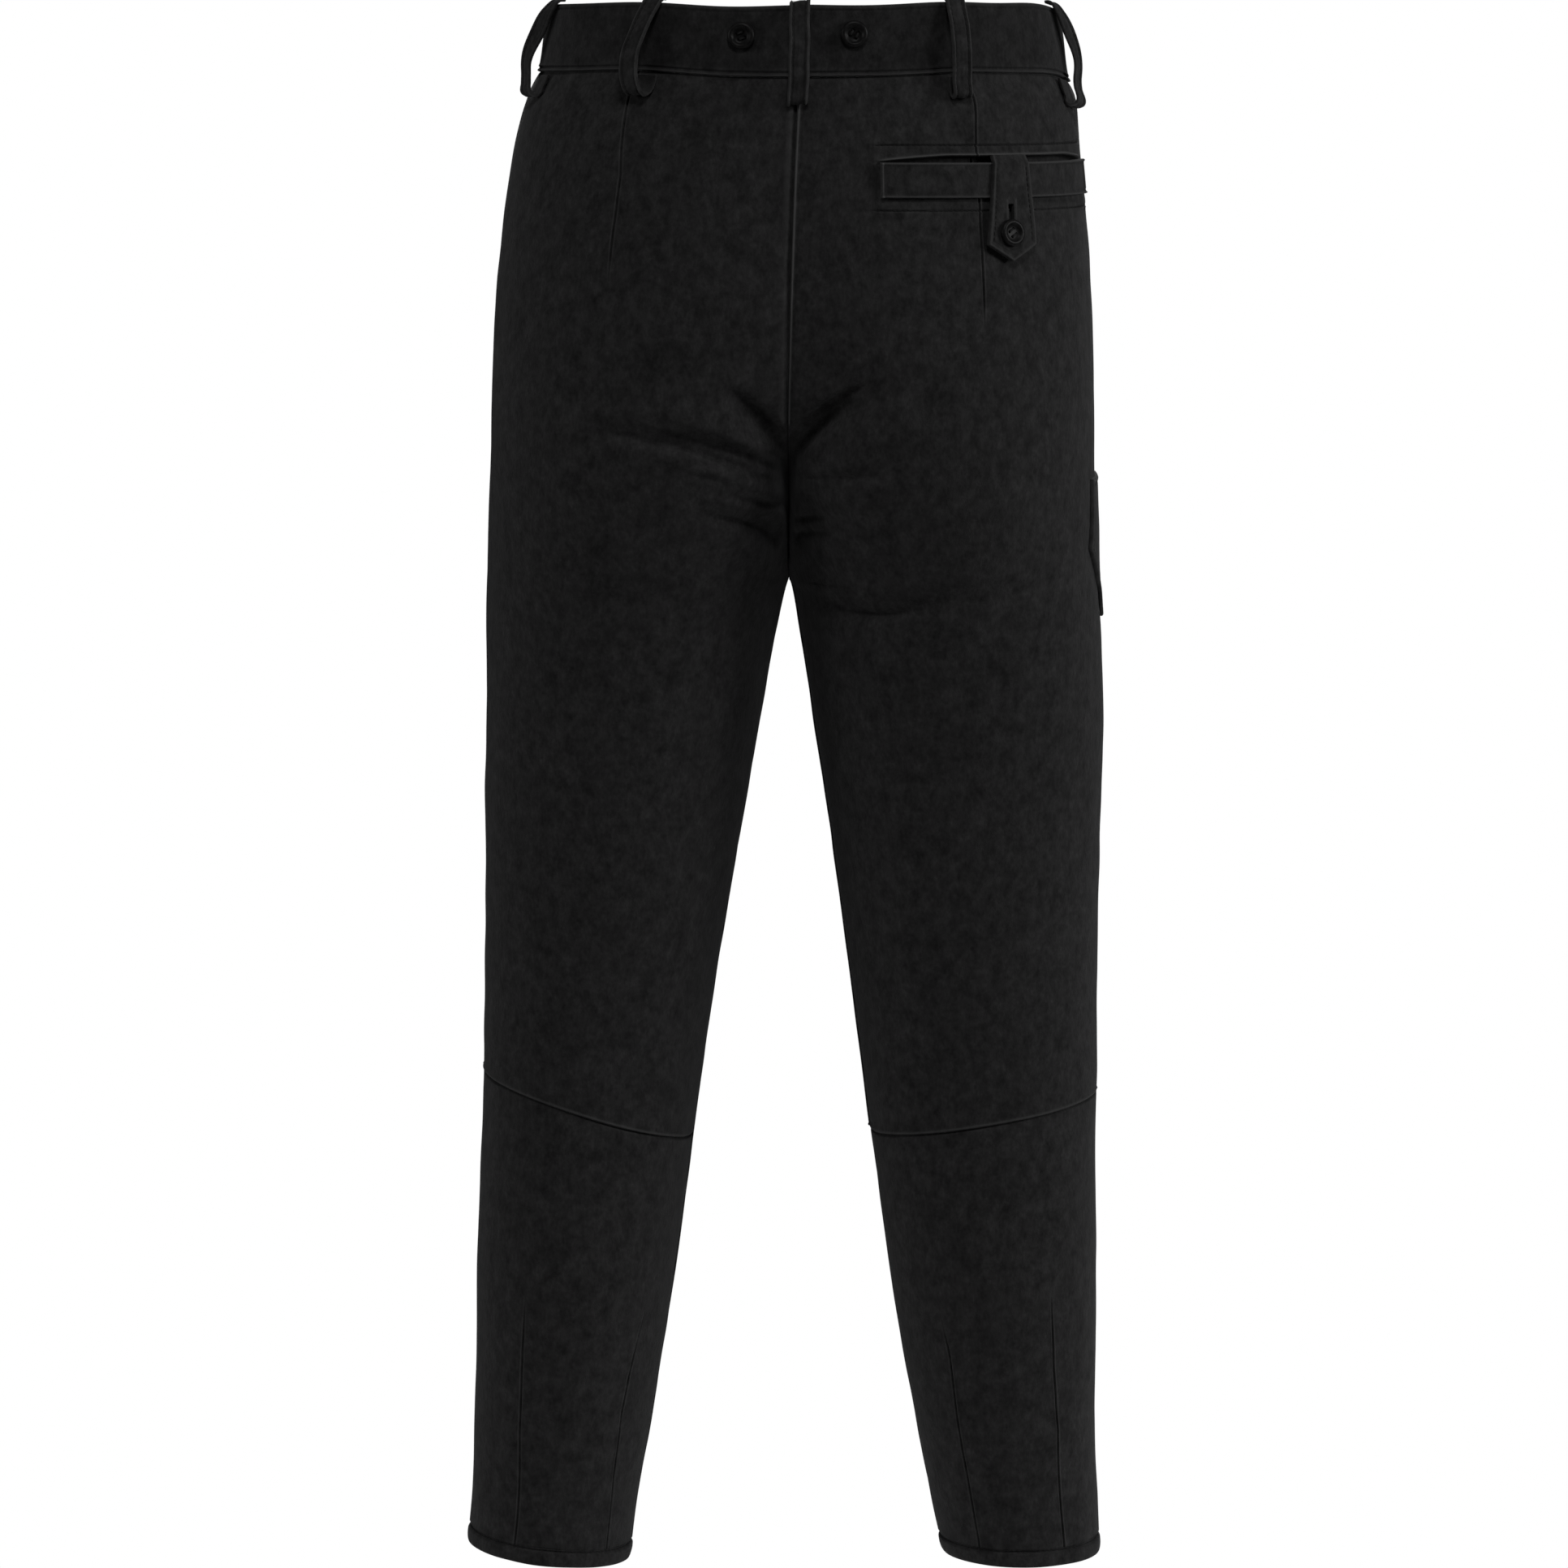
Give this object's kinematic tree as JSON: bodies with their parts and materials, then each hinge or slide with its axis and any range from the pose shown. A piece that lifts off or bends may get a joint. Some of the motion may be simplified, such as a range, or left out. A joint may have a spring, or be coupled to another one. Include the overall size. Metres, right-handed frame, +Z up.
{
  "type": "knee breeches",
  "caption": "Long, narrow, tapered breeches in black brushed cloth, filled out and hollow, with belt loops, brace buttons, a buttoned back pocket and a side pocket.",
  "frame": {"origin": "middle of the waistband, on the axis of the wearer's body, where the wearer's waist or a belt holds the breeches up", "axes": "+Z up along the body, -Y towards the front of the garment, +X towards the wearer's left"},
  "size_m": [0.3942, 0.257, 0.971],
  "materials": {
    "cloth": "black brushed cotton with a soft short nap",
    "horn": "black polished button with a raised rim"
  },
  "bodies": {
    "root": {"back_left": "cloth", "back_pocket_welt": "cloth", "back_right": "cloth", "belt_loop_back": "cloth", "belt_loop_back_left": "cloth", "belt_loop_back_right": "cloth", "belt_loop_front_left": "cloth", "belt_loop_front_right": "cloth", "belt_loop_side_left": "cloth", "belt_loop_side_right": "cloth", "brace_button_back_left": "horn", "brace_button_back_right": "horn", "brace_button_front_left": "horn", "brace_button_front_right": "horn", "brace_button_side_left": "horn", "brace_button_side_right": "horn", "calf_left": "cloth", "calf_right": "cloth", "fly_shield": "cloth", "front_left": "cloth", "front_right": "cloth", "hem_left": "cloth", "hem_right": "cloth", "pocket_tab": "cloth", "pocket_tab_button": "horn", "side_pocket": "cloth", "waist_button": "horn", "waistband_left": "cloth", "waistband_right": "cloth"}
  },
  "joints": []
}
